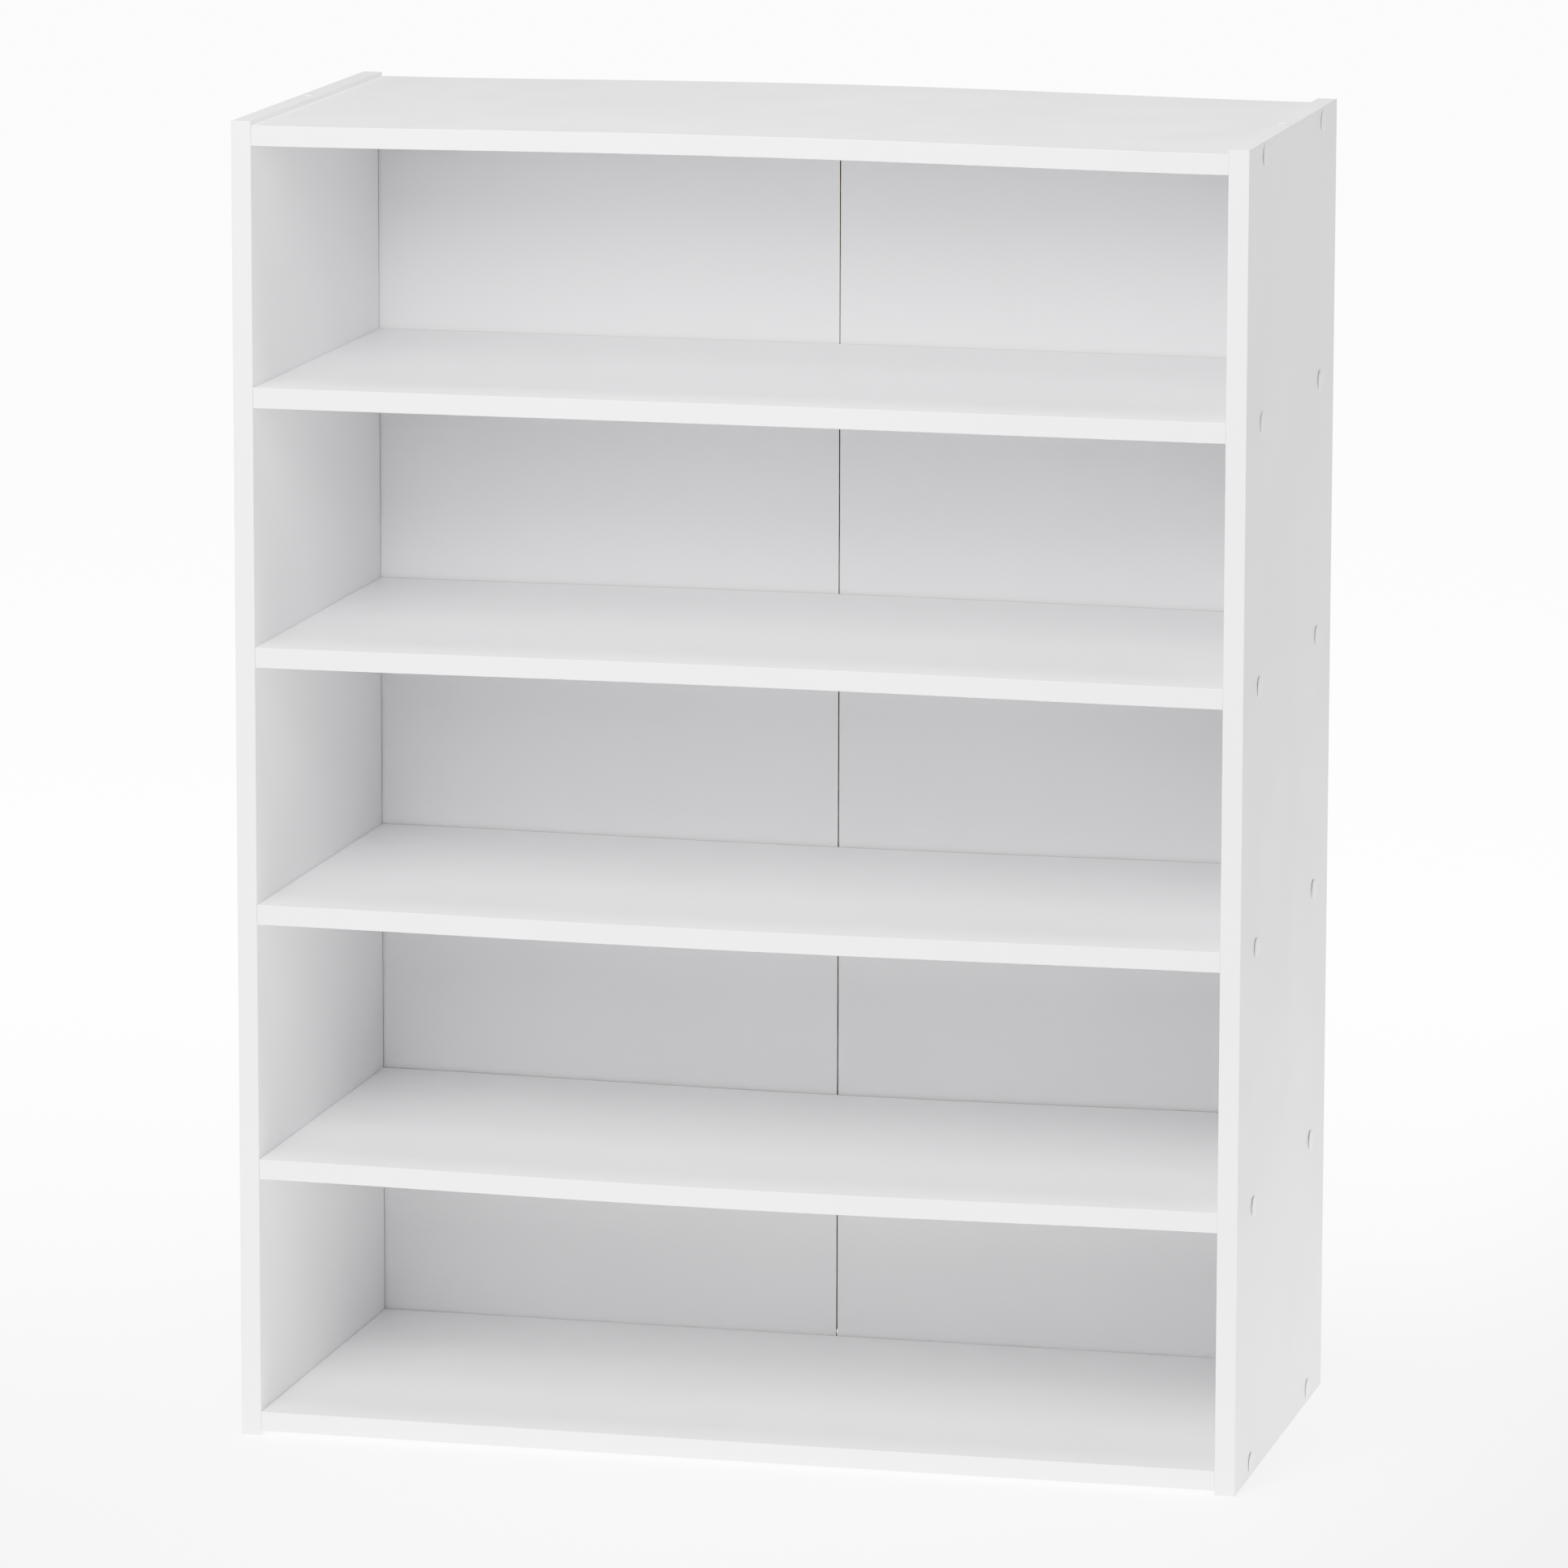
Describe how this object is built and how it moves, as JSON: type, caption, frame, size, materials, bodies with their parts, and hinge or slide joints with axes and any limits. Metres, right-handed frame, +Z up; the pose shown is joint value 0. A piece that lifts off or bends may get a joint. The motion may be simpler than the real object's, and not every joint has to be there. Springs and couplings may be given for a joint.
{
  "type": "bookcase",
  "caption": "Open white flat-pack bookcase: side panels screwed to a top, a bottom and fixed shelves, with a thin back panel in grooves. Holds books, boxes or shoes.",
  "frame": {"origin": "on the floor, under the middle of the bookcase's width and depth", "axes": "+X to the bookcase's right as seen from the front, front facing -Y, +Z up"},
  "size_m": [0.7608, 0.35, 0.9909],
  "materials": {
    "side_laminate": "particle board wrapped in white satin foil",
    "board_laminate": "particle board wrapped in white satin foil, slightly glossier than the sides",
    "back_laminate": "thin fibreboard with white printed face",
    "cap_plastic": "moulded white plastic, satin",
    "plug_plastic": "moulded white plastic",
    "zinc_steel": "bright zinc-plated"
  },
  "bodies": {
    "root": {"side_panel_left": "side_laminate", "side_panel_right": "side_laminate", "top_panel": "board_laminate", "shelf_1": "board_laminate", "shelf_2": "board_laminate", "shelf_3": "board_laminate", "shelf_4": "board_laminate", "bottom_panel": "board_laminate", "back_panel_left": "back_laminate", "back_panel_right": "back_laminate", "screw_top_left_front": "zinc_steel", "screw_top_left_rear": "zinc_steel", "screw_top_right_front": "zinc_steel", "screw_top_right_rear": "zinc_steel", "screw_shelf_1_left_front": "zinc_steel", "screw_shelf_1_left_rear": "zinc_steel", "screw_shelf_1_right_front": "zinc_steel", "screw_shelf_1_right_rear": "zinc_steel", "screw_shelf_2_left_front": "zinc_steel", "screw_shelf_2_left_rear": "zinc_steel", "screw_shelf_2_right_front": "zinc_steel", "screw_shelf_2_right_rear": "zinc_steel", "screw_shelf_3_left_front": "zinc_steel", "screw_shelf_3_left_rear": "zinc_steel", "screw_shelf_3_right_front": "zinc_steel", "screw_shelf_3_right_rear": "zinc_steel", "screw_shelf_4_left_front": "zinc_steel", "screw_shelf_4_left_rear": "zinc_steel", "screw_shelf_4_right_front": "zinc_steel", "screw_shelf_4_right_rear": "zinc_steel", "screw_bottom_left_front": "zinc_steel", "screw_bottom_left_rear": "zinc_steel", "screw_bottom_right_front": "zinc_steel", "screw_bottom_right_rear": "zinc_steel", "cap_top_left_front": "cap_plastic", "cap_top_left_rear": "cap_plastic", "cap_top_right_front": "cap_plastic", "cap_top_right_rear": "cap_plastic", "cap_shelf_1_left_front": "cap_plastic", "cap_shelf_1_left_rear": "cap_plastic", "cap_shelf_1_right_front": "cap_plastic", "cap_shelf_1_right_rear": "cap_plastic", "cap_shelf_2_left_front": "cap_plastic", "cap_shelf_2_left_rear": "cap_plastic", "cap_shelf_2_right_front": "cap_plastic", "cap_shelf_2_right_rear": "cap_plastic", "cap_shelf_3_left_front": "cap_plastic", "cap_shelf_3_left_rear": "cap_plastic", "cap_shelf_3_right_front": "cap_plastic", "cap_shelf_3_right_rear": "cap_plastic", "cap_shelf_4_left_front": "cap_plastic", "cap_shelf_4_left_rear": "cap_plastic", "cap_shelf_4_right_front": "cap_plastic", "cap_shelf_4_right_rear": "cap_plastic", "cap_bottom_left_front": "cap_plastic", "cap_bottom_left_rear": "cap_plastic", "cap_bottom_right_front": "cap_plastic", "cap_bottom_right_rear": "cap_plastic", "edge_plug_left": "plug_plastic", "edge_plug_right": "plug_plastic"}
  },
  "joints": []
}
